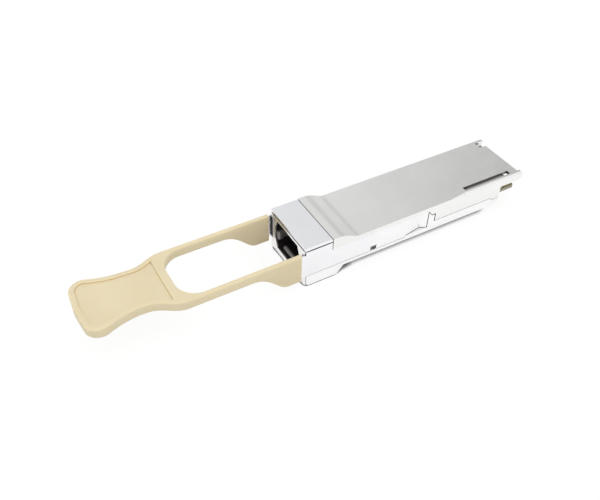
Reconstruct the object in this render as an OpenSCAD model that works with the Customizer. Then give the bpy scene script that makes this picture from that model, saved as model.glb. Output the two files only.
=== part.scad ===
// Pluggable optical transceiver module for a quad small form-factor cage, with a
// twelve-fibre port, a sprung latch slide and a moulded pull tab.
// +X points into the cage, +Z up. The origin lies on the body's flat underside, midway
// between the sides, at the plane where the nose meets the cage's front.

/* [Housing] */
// Width of the module across its two side faces
body_w = 18.35; // [18:0.05:19.5]
// Height of the part that goes into the cage
body_h = 8.5; // [8.4:0.05:9.4]
// Length from the cage's front to the tips of the rear fins
cage_len = 52.4; // [51:0.1:58]
// Length of the nose in front of the cage
nose_len = 20; // [19:0.1:24]
// Height of the nose above the body's underside
nose_h = 10.5; // [10.3:0.05:11.5]
// Depth of the nose below the body's underside
nose_drop = 2.5; // [2.1:0.05:3]
// Thickness of the base shell's floor
floor_t = 0.9; // [0.8:0.05:1.2]
// Thickness of the flat top that meets the heat sink
plate_t = 0.9; // [0.7:0.05:1]
// Thickness of the cap and of the cover over the nose
cap_t = 0.6; // [0.4:0.05:0.65]
// Length of the nose cap, from the nose's front to the seam behind it
cap_len = 8.2; // [8:0.05:9.2]
// Width of the joint lines that show between the housing's pieces
seam = 0.12; // [0.06:0.01:0.2]
// Height of the rail below each slide arm
rail_h = 1; // [0.8:0.05:1.2]
// Height of the cover's flange above each slide arm
flange_h = 1.45; // [1.2:0.05:1.7]
// Height of the fins that reach past the rear ends of the sides
fin_h = 2.5; // [2:0.1:3]
// Height of the joint line along the rear of each side
parting_z = 3; // [2.6:0.05:3.4]

/* [Optical port] */
// Width of the port opening
port_w = 12.8; // [12.4:0.05:13]
// Height of the port opening
port_h = 9.3; // [8.8:0.05:9.4]
// Height of the port's centre line above the body's underside
port_z = 4.25; // [4.2:0.01:4.4]
// Width of the ferrule's face
ferrule_w = 6.4; // [6:0.05:6.6]
// Height of the ferrule's face
ferrule_h = 2.5; // [2.3:0.05:2.6]
// Length of the ferrule
ferrule_len = 8; // [7.4:0.05:8.2]
// Depth of the ferrule's face behind the nose's front
ferrule_depth = 6.5; // [6:0.05:6.9]
// Diameter of the two guide pins
pin_d = 0.7; // [0.6:0.01:0.8]
// Distance between the two guide pins
pin_pitch = 4.6; // [4.3:0.05:4.8]
// How far the guide pins stand out of the ferrule's face
pin_out = 2; // [1.5:0.05:2.4]

/* [Latch slide] */
// Thickness of the slide's sheet steel
sheet_t = 0.4; // [0.3:0.05:0.5]
// Clearance round the slide in its channels
slide_gap = 0.05; // [0.03:0.01:0.08]
// How far the tab pulls the slide out to free the module
pull_travel = 2.5; // [2:0.1:2.9]
// Width of the strap that joins the two arms under the nose cap
strap_w = 3; // [2.4:0.1:3.1]
// Distance from the cage's front to the front of each latch window
window_x = 11.6; // [11:0.1:12.4]
// Length of each latch window
window_l = 7.5; // [7.2:0.1:8.2]
// Depth of each latch pocket below the side face
pocket_d = 1.42; // [1.38:0.01:1.5]
// Outside diameter of the return springs
spring_d = 1.4; // [1.2:0.05:1.45]
// Diameter of the return springs' wire
wire_d = 0.2; // [0.16:0.01:0.24]
// Length of the return springs at rest
spring_l = 8.5; // [8:0.1:8.9]
// Turns of each return spring
spring_turns = 9; // [7:1:10]

/* [Pull tab] */
// Length of the tab, from the end of its legs to the end of its paddle
tab_len = 54.4; // [50:0.1:60]
// How far each leg stands out past the module's side face
leg_out = 0.225; // [0.1:0.025:0.5]
// Thickness of the paddle and the straight legs
tab_t = 2.9; // [2.4:0.05:3.2]
// Height of the legs' tops above the body's underside
tab_top = 8.9; // [8.7:0.05:9.3]
// How much higher the paddle lies than the legs
tab_lift = 0.8; // [0:0.05:1.2]
// Width of each leg
leg_w = 1.3; // [1.2:0.05:1.6]
// Length of the window between the legs
tab_window_l = 31.1; // [29:0.1:33]
// Width of the neck between the window and the paddle
neck_w = 13; // [11:0.1:14]
// Width of the paddle
paddle_w = 17.2; // [16:0.1:18]
// Radius of the paddle's end corners
paddle_r = 3.6; // [3:0.1:4.2]
// Depth of the panel sunk into the paddle's top
panel_d = 0.3; // [0.2:0.05:0.5]
// Width of the rim round that panel
panel_rim = 1.4; // [1:0.1:1.8]
// Radius of the tab's rounded rims
tab_round = 0.45; // [0.3:0.05:0.55]

/* [Circuit board] */
// Width of the card edge that goes into the host's connector
card_w = 16.42; // [16:0.02:16.5]
// Thickness of the circuit board
board_t = 1; // [0.9:0.05:1.1]
// Height of the board's underside above the body's underside
board_z = 2.8; // [2.6:0.05:3]
// Distance between neighbouring contacts on the card edge
contact_pitch = 0.8; // [0.78:0.01:0.82]
// Contacts on each side of the card edge
contact_count = 19; // [15:1:19]
// Width of a contact
contact_w = 0.54; // [0.45:0.01:0.6]
// Side of the square clock recovery chips
retimer_w = 5; // [4:0.1:5.4]
// Side of the square microcontroller
micro_w = 4; // [3:0.1:4.4]
// Height of the moulded chips on the board
chip_h = 0.85; // [0.7:0.05:1]

/* [Hidden] */
$fn = 48;

half = body_w / 2;
skin_t = sheet_t + 2 * slide_gap;   // side skins are as thick as the slide's channel is deep
core = half - skin_t;               // half width inside the side skins
flange_z = body_h - flange_h;       // lower edge of the cover's flange
lid_z = body_h - plate_t;           // underside of the top plate
cap_z = nose_h - cap_t;             // underside of the nose cap
arm_z0 = rail_h + slide_gap;
arm_z1 = flange_z - slide_gap;
past = 1;                           // how far a cutter runs past the face it cuts

// Stations along X
nose_x = -nose_len;
lip_t = 0.4;                        // thickness of the ring round the port's mouth
chin_x = nose_x + 0.7;              // front of the side skins below the slide's arms
chin_l = 9.9;                       // nose front to the start of the lower ramp
chin_ramp = 2;                      // length of the lower ramp
crown_l = 11.35;                    // nose front to the start of the upper ramp
crown_ramp = 4.45;                  // length of the upper ramp
cap_end_x = nose_x + cap_len;
plate_end_x = cage_len - 1.2;       // rear edge of the top plate
side_end_x = cage_len - 7.8;        // rear end of the side walls, where the card shows
fin_z = body_h - fin_h;             // lower edge of the rear fins
window_end_x = window_x + window_l;

// Bays inside the base shell
rear_bay_x = window_end_x + 1.4;    // where the board grows wider behind the latch pockets
mouth_x = side_end_x - 3.7;         // where the board grows to the card's width
front_bay_x = 3;                    // front wall of the board's bay
throat_x = -9.7;                    // rear end of the receptacle
throat_w = 6.2;                     // half width between the two spring pockets
fit = 0.05;                         // clearance round what is dropped into the housing
ledge_w = 0.6;                      // width of the ledges that carry the board
front_bay_w = core - (pocket_d - skin_t) - 0.65;
rear_bay_w = core - 0.775;
mouth_w = card_w / 2 + 0.09;
card_end_x = cage_len - 1.5;
board_x = front_bay_x + 0.2;
board_top = board_z + board_t;

// Copies a shape to both sides of the module.
module both_sides() {
    children();
    mirror([0, 1, 0]) children();
}

// Extrudes a side view, drawn in X and Z, from y0 to y1.
module across(y0, y1) {
    translate([0, y1, 0]) rotate([90, 0, 0]) linear_extrude(y1 - y0) children();
}

// Extrudes a front view, drawn in Y and Z, from x0 to x1.
module along(x0, x1) {
    translate([x0, 0, 0]) rotate([90, 0, 90]) linear_extrude(x1 - x0) children();
}

// A box between two opposite corners.
module block(low, high) {
    translate(low) cube(high - low);
}

// A box of a given size that stands on the board's top, centred on x and y.
module on_board(x, y, size) {
    translate([x - size[0] / 2, y - size[1] / 2, board_top]) cube(size);
}

// Points on an arc about c, from angle a0 to a1.
function arc(c, r, a0, a1, n = 8) =
    [for (i = [0:n]) let (a = a0 + (a1 - a0) * i / n) c + r * [cos(a), sin(a)]];

// 0 to 1 with a level start and a level end.
function ease(t) = (1 - cos(180 * t)) / 2;

// A closed skin over a row of rings with as many points each. A cap is one face, or where
// the ring is its own mirror image, a ladder of faces between its two halves.
module loft(rings, ladder = false) {
    m = len(rings[0]);
    last = len(rings) - 1;
    cap = ladder ? [for (i = [0:floor(m / 2) - 1]) let (j = m - 2 - i)
        if (i + 1 <= j) i + 1 < j ? [i, i + 1, j, j + 1] : [i, i + 1, j + 1]]
        : [[for (k = [0:m - 1]) k]];
    polyhedron([for (r = rings, p = r) p], concat(cap,
        [for (f = cap) [for (k = [len(f) - 1:-1:0]) last * m + f[k]]],
        [for (i = [0:last - 1], k = [0:m - 1]) let (n = (k + 1) % m)
            [i * m + n, i * m + k, (i + 1) * m + k, (i + 1) * m + n]]));
}

// A path's points moved d to the right of its direction of travel.
function grown(path, d) = [for (i = [0:len(path) - 1]) let (
    t = path[min(i + 1, len(path) - 1)] - path[max(i - 1, 0)])
    path[i] + d * [t[1], -t[0]] / norm(t)];

// ---------- Housing ----------

// The joint line between the shells along each side, from front to rear, as the cover's
// edge. The base keeps clear of it by the seam, and by a wider gap round the jog.
jog_gap = 0.3;
jog_x = window_end_x + 1.1;
post_x = window_end_x + 2.4;
hook_x = side_end_x - 3;
parting = [
    [window_end_x, flange_z], [jog_x, 5.6], [post_x, 5.6], [post_x, parting_z],
    [hook_x, parting_z], [hook_x + 0.65, parting_z - 0.8], [side_end_x, parting_z - 0.8]];
base_edge = [for (i = [0:len(parting) - 1])
    parting[i] - [i == 2 || i == 3 ? jog_gap : 0, i < 3 ? jog_gap : seam]];

// The opening that the fibre plug enters, seen from the front.
port_cut_y = 1.2;
port_cut_z = 2.9;
module port_outline(grow = 0) {
    w = port_w / 2 + grow;
    h = port_h / 2 + grow;
    translate([0, port_z]) polygon([
        [-w, port_cut_z - h], [port_cut_y - w, -h], [w - port_cut_y, -h], [w, port_cut_z - h],
        [w, h - port_cut_z], [w - port_cut_y, h], [port_cut_y - w, h], [-w, h - port_cut_z]]);
}

strap_z = cap_z - slide_gap - sheet_t;
strap_x1 = cap_end_x - 0.8;
strap_x0 = strap_x1 - strap_w;
strap_bay_x0 = strap_x0 - pull_travel - slide_gap;
spring_z = rail_h + 0.85;
spring_y = core - spring_d / 2 - 0.12;
spring_pocket_r = spring_d / 2 + 0.05;
lance_x = 0.3;                      // front edge of the lanced hole in each arm
lance_l = 1.9;
lance_h = 1.3;
spring_x0 = lance_x - sheet_t - spring_l;
screw_r = 0.6;
screw_head_r = 1.15;
post_r = 1.3;
screw_places = [[1, throat_w - post_r], [mouth_x - 2.9, rear_bay_w - post_r - 1.9]];

module at_screws() {
    both_sides() for (p = screw_places) translate([p[0], p[1], 0]) children();
}

receptacle_x0 = nose_x + lip_t + fit;
receptacle_x1 = nose_x + 8.75;
receptacle_w = port_w / 2 + 0.6;
receptacle_z0 = port_z - port_h / 2 - 0.8;
receptacle_z1 = strap_z - fit;
cap_foot = [0.5, 0.8, 1.5];
cap_foot_y = receptacle_w + 0.45;
strap_leg_z = strap_z - 1.4;        // lower ends of the strap's legs inside the arms
pocket_z = rail_h + 0.5;            // lower edge of each latch pocket
brow_t = 0.25;                      // height of the dark joint under the cap's front edge
relief = [2.5, 0.9];                // length and width of the slot beside each arm's front

// Full-width outline of the base shell, up to its rails and the joint line.
module base_side_view() {
    r = 1.7;
    polygon(concat(
        [[chin_x, rail_h], [chin_x, 0.5 - nose_drop], [chin_x + 0.5, -nose_drop],
        [nose_x + chin_l, -nose_drop], [nose_x + chin_l + chin_ramp, 0]],
        arc([side_end_x - r, r], r, -90, 0),
        [for (i = [len(parting) - 1:-1:0]) base_edge[i]],
        [[window_end_x, pocket_z], [window_x, pocket_z], [window_x, rail_h]]));
}

// Outline of the base shell between the side skins.
module base_core_view() {
    polygon([
        [nose_x, 0.5 - nose_drop], [nose_x + 0.5, -nose_drop], [nose_x + chin_l, -nose_drop],
        [nose_x + chin_l + chin_ramp, 0],
        [side_end_x - 0.5, 0.5], [side_end_x - 0.5, parting_z], [mouth_x + 1, lid_z],
        [cap_end_x, lid_z], [cap_end_x, cap_z], [nose_x + 0.6, cap_z],
        [nose_x + 0.6, cap_z - brow_t], [nose_x, cap_z - brow_t]]);
}

module base_shell() color("#C9CACC") difference() {
    union() {
        across(-half, half) base_side_view();
        across(-core, core) base_core_view();
    }
    along(nose_x - past, nose_x + lip_t + past) port_outline();
    block([nose_x + lip_t, -receptacle_w - fit, receptacle_z0 - fit],
        [receptacle_x1 + fit, receptacle_w + fit, cap_z + past]);
    block([receptacle_x1, -receptacle_w - fit, floor_t],
        [throat_x, receptacle_w + fit, cap_z + past]);
    block([throat_x - past, -throat_w, floor_t], [front_bay_x + past, throat_w, cap_z]);
    board_bay(front_bay_x, rear_bay_x, front_bay_w);
    board_bay(rear_bay_x, mouth_x + past, rear_bay_w);
    block([mouth_x, -mouth_w, floor_t], [side_end_x + past, mouth_w, body_h]);
    both_sides() {
        block([strap_bay_x0, receptacle_w - past, receptacle_z1],
            [strap_x1 + slide_gap, half, nose_h]);
        block([strap_bay_x0, arm_in - sheet_t - slide_gap, strap_leg_z - slide_gap],
            [strap_x1 + slide_gap, half, nose_h]);
        block([nose_x - past, core - relief[1], rail_h + 0.3],
            [nose_x + relief[0], half, tab_top - 0.6]);
        block([window_x - pull_travel - 0.2, half - pocket_d, pocket_z],
            [window_end_x, half, flange_z]);
        spring_pocket();
        block([cap_end_x - cap_foot[0] - 0.15, cap_foot_y - fit, cap_z - cap_foot[2] - fit],
            [cap_end_x + past, cap_foot_y + cap_foot[1] + fit, cap_z + past]);
    }
    at_screws() {
        translate([0, 0, -past]) cylinder(r = screw_r + 0.1, h = floor_t + 2 * past);
        translate([0, 0, -0.01])
            cylinder(r1 = screw_head_r + 0.06, r2 = screw_r + 0.1, h = screw_head_r - screw_r);
    }
}

// Room for the board between x0 and x1: wide above its ledges and narrower below them.
module board_bay(x0, x1, w) {
    block([x0, -w, board_z], [x1, w, body_h]);
    block([x0, ledge_w - w, floor_t], [x1, w - ledge_w, board_z + past]);
}

// Slot in the side of the base for one return spring and the lanced ear that pushes it.
module spring_pocket() {
    block([spring_x0, spring_y - spring_pocket_r, spring_z - spring_pocket_r],
        [lance_x + lance_l + 0.2, half, spring_z + spring_pocket_r]);
}

// The cover's ramp up to the nose, from its foot forwards: both of its bends are rounded.
shoulder_slope = atan((nose_h - body_h) / crown_ramp);
shoulder_r = [1.6, 6];
shoulder = concat(
    arc([nose_x + crown_l + crown_ramp + shoulder_r[0] * tan(shoulder_slope / 2),
        body_h + shoulder_r[0]], shoulder_r[0], -90, -90 - shoulder_slope, 4),
    arc([nose_x + crown_l - shoulder_r[1] * tan(shoulder_slope / 2), nose_h - shoulder_r[1]],
        shoulder_r[1], 90 - shoulder_slope, 90, 6));

// Outline of the cover's sides above the joint line, with the rear fins.
module cover_side_view() {
    r = 1.2;
    polygon(concat(
        [[cap_end_x + seam, flange_z]], parting,
        [[side_end_x, fin_z - 0.4], [side_end_x + 0.4, fin_z]],
        arc([cage_len - r, fin_z + r], r, -90, 0),
        arc([cage_len - 0.5, body_h - 0.5], 0.5, 0, 90, 4),
        shoulder, [[cap_end_x + seam, nose_h]]));
}

// Section of the cover's skin over the nose, down to the plate.
module crown_view() {
    run = nose_x + crown_l + crown_ramp;
    polygon(concat([
        [cap_end_x + seam, cap_z], [nose_x + crown_l - 0.3, cap_z], [run - 0.4, lid_z],
        [run + 1, lid_z], [run + 1, body_h]], shoulder, [[cap_end_x + seam, nose_h]]));
}

slot_y = half - 1.32;               // outer edge of the slot in the plate
slot_w = 1.3;
slot_x0 = cage_len - 20.2;
slot_x1 = cage_len - 3.9;
notch_x = cage_len - 3.4;
notch_y = half - 0.9;               // outer edge of the notch in the plate's far corner
notch_w = 2.4;
edge_r = 1.15;                      // rounding of the cover's upper edge beside the slot
pedestal_z = board_top + chip_h + 0.7;

module top_shell() color("#D6D6D4") difference() {
    union() {
        across(-half, half) crown_view();
        block([nose_x + crown_l + crown_ramp, -half, lid_z], [plate_end_x, half, body_h]);
        both_sides() {
            across(core, half) cover_side_view();
            across(slot_y, half) intersection() {
                cover_side_view();
                translate([side_end_x, lid_z]) square([cage_len, body_h]);
            }
            board_clamp(front_bay_x + 2, front_bay_w);
            board_clamp(rear_bay_x + 6, rear_bay_w);
        }
        block([retimer_x[0] - retimer_w / 2, -retimer_w / 2 - 0.5, pedestal_z],
            [retimer_x[1] + retimer_w / 2, retimer_w / 2 + 0.5, lid_z]);
        at_screws() translate([0, 0, floor_t]) cylinder(r = post_r, h = lid_z - floor_t);
    }
    at_screws() translate([0, 0, floor_t - past]) cylinder(r = screw_r + 0.03, h = past + 3.6);
    block([slot_x0, -slot_y, lid_z - 0.1], [slot_x1, slot_w - slot_y, body_h + past]);
    block([notch_x, notch_y - notch_w, lid_z - 0.1], [cage_len + past, notch_y, body_h + past]);
    mirror([0, 1, 0]) upper_edge_round();
}

// Rib that reaches down from the cover and holds the board on its ledge.
module board_clamp(x, bay_w) {
    rib = [2, 0.5];
    block([x, bay_w - fit - rib[1], board_top], [x + rib[0], bay_w - fit, lid_z]);
}

// Cutter that rounds the cover's upper edge beside the slot, with a tapered start.
module upper_edge_round() {
    taper = 5;
    along(slot_x0 - 1, cage_len + past) difference() {
        translate([half - edge_r, body_h - edge_r]) square(edge_r + past);
        translate([half - edge_r, body_h - edge_r]) circle(edge_r);
    }
    hull() {
        translate([slot_x0 - 1 - taper, half, body_h]) cube([0.01, 0.01, 0.01]);
        translate([slot_x0 - 1, half - 0.55 * edge_r, body_h]) cube([0.01, 0.7 * edge_r, 0.01]);
        translate([slot_x0 - 1, half, body_h - 0.55 * edge_r]) cube(0.01);
    }
}

module nose_cap() color("#E2E4E8") {
    edge = 0.45;
    x1 = cap_end_x - seam / 2;
    along(nose_x + 0.12, x1) {
        translate([-half + edge, cap_z]) square([body_w - 2 * edge, cap_t]);
        for (s = [-1, 1]) translate([s * (half - edge), 0]) intersection() {
            translate([0, nose_h - edge]) circle(edge);
            translate([-edge, cap_z]) square([2 * edge, cap_t]);
        }
        translate([-half, cap_z]) square([edge, cap_t - edge]);
        translate([half - edge, cap_z]) square([edge, cap_t - edge]);
    }
    both_sides() block([cap_end_x - cap_foot[0] - 0.1, cap_foot_y, cap_z - cap_foot[2]],
        [cap_end_x - 0.1, cap_foot_y + cap_foot[1], cap_z]);
}

module housing_screws() color("#8E9094") at_screws() difference() {
    union() {
        cylinder(r1 = screw_head_r, r2 = screw_r, h = screw_head_r - screw_r);
        cylinder(r = screw_r, h = floor_t + 3.2);
    }
    for (a = [0, 90]) rotate([0, 0, a])
        translate([-0.6, -0.14, -past]) cube([1.2, 0.28, past + 0.4]);
}

// ---------- Latch slide ----------

tongue_x0 = nose_x - 6;             // front ends of the arms, inside the tab's legs
tongue_x1 = nose_x + 0.4;
tongue_z1 = tab_top - 0.5;
leg_end_x = nose_x - 1;
arm_out = half - slide_gap;
arm_in = arm_out - sheet_t;
cheek_x1 = cap_end_x - 0.03;
heel_z0 = pocket_z + 0.1;
heel_z1 = flange_z - 0.1;

// Side view of one arm: tongue, tall cheek beside the port, and the straight run.
module arm_view() {
    difference() {
        polygon([
            [tongue_x0, arm_z0], [window_x, arm_z0], [window_x, arm_z1],
            [cheek_x1, arm_z1], [cheek_x1, strap_z],
            [tongue_x1, strap_z], [tongue_x1, tongue_z1], [tongue_x0, tongue_z1]]);
        translate([lance_x, spring_z - lance_h / 2]) square([lance_l, lance_h]);
        for (z = [arm_z0 + 1.7, tongue_z1 - 1.7]) translate([tongue_x0 + 2, z]) circle(0.7);
    }
}

// Plan view of the end that slopes down into the latch pocket and rises again behind the
// cage's catch, which it lifts when the slide is pulled.
module heel_plan() {
    step = 0.88;
    a = window_x;
    tip = window_end_x - 0.15;
    polygon([
        [a - 0.6, arm_out], [a, arm_out], [tip - 1.9, arm_out - step],
        [tip - 0.5, arm_out - 0.1], [tip, arm_out - 0.1],
        [tip, arm_out - 0.1 - sheet_t], [tip - 0.3, arm_out - 0.1 - sheet_t],
        [tip - 1.8, arm_out - step - sheet_t], [a - 0.1, arm_in], [a - 0.6, arm_in]]);
}

module latch_slide() color("#DADBDD") {
    both_sides() {
        across(arm_in, arm_out) arm_view();
        translate([0, 0, heel_z0]) linear_extrude(heel_z1 - heel_z0) heel_plan();
        block([lance_x - sheet_t, spring_y - spring_d / 2 + 0.1, spring_z - lance_h / 2 + 0.1],
            [lance_x, arm_out, spring_z + lance_h / 2 - 0.1]);
        along(strap_x0, strap_x1) strap_view();
    }
}

// Section of half the strap: its leg is bent down and joined to the arm's inner face.
module strap_view() {
    r = 0.6;
    difference() {
        union() {
            translate([arm_in - r, strap_z + sheet_t - r]) circle(r);
            translate([0, strap_z]) square([arm_in - r, sheet_t]);
            translate([arm_in - sheet_t, strap_leg_z])
                square([sheet_t + slide_gap, strap_z + sheet_t - r - strap_leg_z]);
        }
        translate([0, strap_leg_z - past])
            square([arm_in - sheet_t, strap_z - strap_leg_z + past]);
    }
}

// A compression spring along X with closed ends, as one closed tube.
module coil_spring(r, turns, length, d) {
    sides = 6;
    steps = 14;
    closed = 1;                     // turns at each end that lie nearly flat
    lie = (length - d) / (turns - 2 * closed + 2 * closed * 0.35);
    function lead(t) = t < closed ? 0.35 * lie * t
        : t > turns - closed ? length - d - 0.35 * lie * (turns - t)
        : lie * (t - closed * 0.65);
    loft([for (i = [0:turns * steps]) [for (k = [0:sides - 1])
        let (t = i / steps, a = 360 * t, b = 360 * k / sides, q = r - d / 2 + d / 2 * cos(b))
        [d / 2 + lead(t) + d / 2 * sin(b), q * cos(a), q * sin(a)]]]);
}

module return_spring() {
    translate([spring_x0, spring_y, spring_z])
        coil_spring(spring_d / 2, spring_turns, spring_l, wire_d);
}
module return_spring_near() color("#9A9C9F") mirror([0, 1, 0]) return_spring();
module return_spring_far() color("#9A9C9F") return_spring();

// ---------- Pull tab ----------

tab_x0 = leg_end_x - tab_len;       // end of the paddle
tab_z0 = tab_top - tab_t;
tab_w = body_w + 2 * leg_out;
corner_x = tab_x0 + paddle_r + 0.2;
corner_y = paddle_w / 2 - paddle_r;
shoulder_x = leg_end_x - tab_window_l;
window_r = 5.5;
neck_x1 = shoulder_x - 8;
neck_x0 = neck_x1 - 1.5;
flare = 65;                         // angle at which the paddle's corner meets the neck's curve
flare_x = corner_x + paddle_r * cos(flare);
flare_y = corner_y + paddle_r * sin(flare);

// Where the tab's slab ends and its two legs go on with the same section.
leg_x0 = shoulder_x + window_r + 1;

// The tab's outline in plan, from one leg round the paddle to the other leg.
tab_side = concat(
    [[leg_x0, tab_w / 2]],
    [for (i = [0:10]) let (t = i / 10)
        [shoulder_x + 0.6 + (neck_x1 - shoulder_x - 0.6) * t,
        tab_w / 2 - (tab_w - neck_w) / 2 * ease(t)]],
    [for (i = [0:7]) let (t = i / 8)
        [neck_x0 + (flare_x - neck_x0) * t, neck_w / 2 + (flare_y - neck_w / 2) * t * t]],
    arc([corner_x, corner_y], paddle_r, flare, 180, 12));
tab_path = concat(tab_side, [[tab_x0 - 0.2, 0]],
    [for (i = [len(tab_side) - 1:-1:0]) [tab_side[i][0], -tab_side[i][1]]]);

// The outline of the window between the legs, open towards the nose.
window_y = tab_w / 2 - leg_w;
window_path = concat([[leg_x0 + past, window_y]],
    arc([shoulder_x + window_r, window_y - window_r], window_r, 90, 180),
    arc([shoulder_x + window_r, window_r - window_y], window_r, 180, 270),
    [[leg_x0 + past, -window_y]]);

// Quarter turn of the rounded rims: [distance in from the side, distance from the face].
rim = [for (i = [0:4]) let (a = 90 * i / 4) tab_round * [1 - sin(a), 1 - cos(a)]];

// A path at each level of a slab with rounded rims; side is -1 for a solid, 1 for a cutter.
function slab_rings(path, side) = concat(
    [for (q = rim) at_height(grown(path, side * q[0]), tab_z0 + q[1])],
    [for (i = [len(rim) - 1:-1:0]) at_height(grown(path, side * rim[i][0]), tab_top - rim[i][1])]);
function at_height(path, z) = [for (p = path) [p[0], p[1], z + rise(p[0])]];

// How much the slab has risen at x on its way from the shoulder to the paddle.
rise_l = 11;
function rise(x) = tab_lift * ease(min(1, max(0, (shoulder_x - x) / rise_l)));

// Height of a leg's lower edge, which drops to make the deep plates beside the nose.
root_l = 3.8;
drop_l = 11;
function leg_z0(x) = let (t = min(1, max(0, (x - leg_end_x + root_l + drop_l) / drop_l)))
    tab_z0 * (1 - ease(pow(t, 1.5)));

// Section of the far leg at x, with the same rounded rims as the slab.
function leg_ring(x) = let (z0 = leg_z0(x), n = len(rim) - 1) concat(
    [for (q = rim) [x, tab_w / 2 - q[0], z0 + q[1]]],
    [for (i = [n:-1:0]) [x, tab_w / 2 - rim[i][0], tab_top - rim[i][1]]],
    [for (q = rim) [x, window_y + q[0], tab_top - q[1]]],
    [for (i = [n:-1:0]) [x, window_y + rim[i][0], z0 + rim[i][1]]]);

module pull_tab() color("#E4D6B0") difference() {
    union() {
        difference() {
            loft(slab_rings(tab_path, -1), ladder = true);
            loft(ladder = true, rings = concat(
                [at_height(grown(window_path, tab_round), tab_z0 - past)],
                slab_rings(window_path, 1),
                [at_height(grown(window_path, tab_round), tab_top + past)]));
        }
        both_sides() loft([for (x = concat([leg_x0],
            [for (i = [0:14]) leg_end_x - root_l - drop_l * (1 - i / 14)], [leg_end_x]))
            leg_ring(x)]);
    }
    intersection() {
        loft(ladder = true, rings = [for (z = [tab_top - panel_d, tab_top + past])
            at_height(grown(tab_path, -panel_rim), z)]);
        block([tab_x0, -tab_w, tab_z0], [shoulder_x - 2.2, tab_w, tab_top + 2 * past]);
    }
    both_sides() across(arm_in, arm_out) arm_view();
}

// ---------- Optical port ----------

module mpo_receptacle() color("#1E1B1D") {
    back = receptacle_x1 - 0.6;
    difference() {
        union() {
            block([receptacle_x0, -receptacle_w, receptacle_z0],
                [receptacle_x1, receptacle_w, receptacle_z1]);
            block([receptacle_x1, -receptacle_w, floor_t + fit],
                [throat_x - fit, receptacle_w, lid_z - fit]);
        }
        along(receptacle_x0 - past, back) port_outline();
        along(back - past, throat_x + past) translate([0, port_z])
            square([ferrule_w + 2 * fit, ferrule_h + 2 * fit], center = true);
        both_sides() hook_body(fit);
    }
}

hook_y = port_w / 2 - 0.45;
hook_z = port_z - 1.25;             // centre height of the hooks
hook_h = 2.6;
hook_x0 = receptacle_x0 + 0.1;
hook_x1 = throat_x - fit - 0.4;

// One cantilever hook that grips the fibre plug's side, with its root in the back wall.
module hook_body(grow = 0) {
    translate([0, 0, hook_z - hook_h / 2 - grow]) linear_extrude(hook_h + 2 * grow)
        offset(delta = grow) polygon([
            [hook_x0, hook_y + 0.1], [hook_x0 + 0.5, hook_y - 0.35], [hook_x0 + 1.5, hook_y - 0.35],
            [hook_x0 + 1.5, hook_y], [hook_x1, hook_y], [hook_x1, hook_y + 0.65],
            [hook_x0, hook_y + 0.65]]);
}

// Rounded bar on the port's floor, just inside the mouth, that guides the plug in.
module guide_bar() {
    r = 0.6;
    reach = 4.4;
    floor_z = port_z - port_h / 2;
    translate([nose_x + 1.8, 0, floor_z]) intersection() {
        translate([0, 0, 0.3]) hull() for (s = [-1, 1])
            translate([0, s * (reach - r), 0]) sphere(r, $fn = 24);
        block([-r, -reach, 0.01], [r, reach, 1]);
    }
}

module plug_hooks() color("#4E4A4C") {
    both_sides() hook_body();
    guide_bar();
}

ferrule_x0 = nose_x + ferrule_depth;
ferrule_x1 = ferrule_x0 + ferrule_len;
flange_l = 2.5;
pin_x1 = ferrule_x1 + 1.1;

module mt_ferrule() color("#3A3B3F") difference() {
    union() {
        along(ferrule_x0, ferrule_x1) translate([0, port_z])
            square([ferrule_w, ferrule_h], center = true);
        along(ferrule_x1 - flange_l, ferrule_x1) translate([0, port_z])
            square([ferrule_w + 0.6, ferrule_h + 0.5], center = true);
    }
    for (s = [-1, 1]) translate([ferrule_x0 - past, s * pin_pitch / 2, port_z])
        rotate([0, 90, 0]) cylinder(d = pin_d + 0.02, h = ferrule_len + 2 * past);
    block([ferrule_x0 + 3, -ribbon_w / 2, port_z - ribbon_t / 2],
        [ferrule_x1 + past, ribbon_w / 2, port_z + ribbon_t / 2]);
    block([ferrule_x0 + 3, -1.4, port_z], [ferrule_x0 + 4.8, 1.4, port_z + ferrule_h]);
}

module guide_pins() color("#B9BBBE") for (s = [-1, 1])
    translate([0, s * pin_pitch / 2, port_z]) rotate([0, 90, 0]) {
        translate([0, 0, ferrule_x0 - pin_out + 0.3])
            cylinder(d = pin_d, h = pin_x1 - ferrule_x0 + pin_out - 0.3);
        translate([0, 0, ferrule_x0 - pin_out]) cylinder(d1 = pin_d / 2, d2 = pin_d, h = 0.3);
    }

module pin_clamp() color("#A9ABAE") difference() {
    along(ferrule_x1 + fit, ferrule_x1 + 1.5) translate([0, port_z])
        square([ferrule_w + 0.6, ferrule_h], center = true);
    for (s = [-1, 1]) translate([ferrule_x1, s * pin_pitch / 2, port_z])
        rotate([0, 90, 0]) cylinder(d = pin_d + 0.02, h = 3);
    block([ferrule_x1, -ribbon_w / 2 - 0.1, port_z - ribbon_t],
        [ferrule_x1 + 3, ribbon_w / 2 + 0.1, port_z + ribbon_t]);
}

ribbon_w = 3.1;
ribbon_t = 0.3;
lens_x0 = front_bay_x + 5.8;
lens_size = [5, 5.5, 1.8];
ribbon_end_x = lens_x0 + 1.5;
ribbon_end_z = board_top + 1.05;

module fibre_ribbon() color("#6FB7C9") {
    x0 = ferrule_x1 + 1.5;
    x1 = lens_x0;
    n = 16;
    path = [for (i = [0:n]) let (t = i / n)
        [x0 + (x1 - x0) * t, port_z + (ribbon_end_z - port_z) * ease(t)]];
    across(-ribbon_w / 2, ribbon_w / 2) polygon(concat(
        [[ferrule_x0 + 5, port_z + ribbon_t / 2]],
        [for (p = path) p + [0, ribbon_t / 2]],
        [[ribbon_end_x, ribbon_end_z + ribbon_t / 2], [ribbon_end_x, ribbon_end_z - ribbon_t / 2]],
        [for (i = [n:-1:0]) path[i] - [0, ribbon_t / 2]],
        [[ferrule_x0 + 5, port_z - ribbon_t / 2]]));
}

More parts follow.
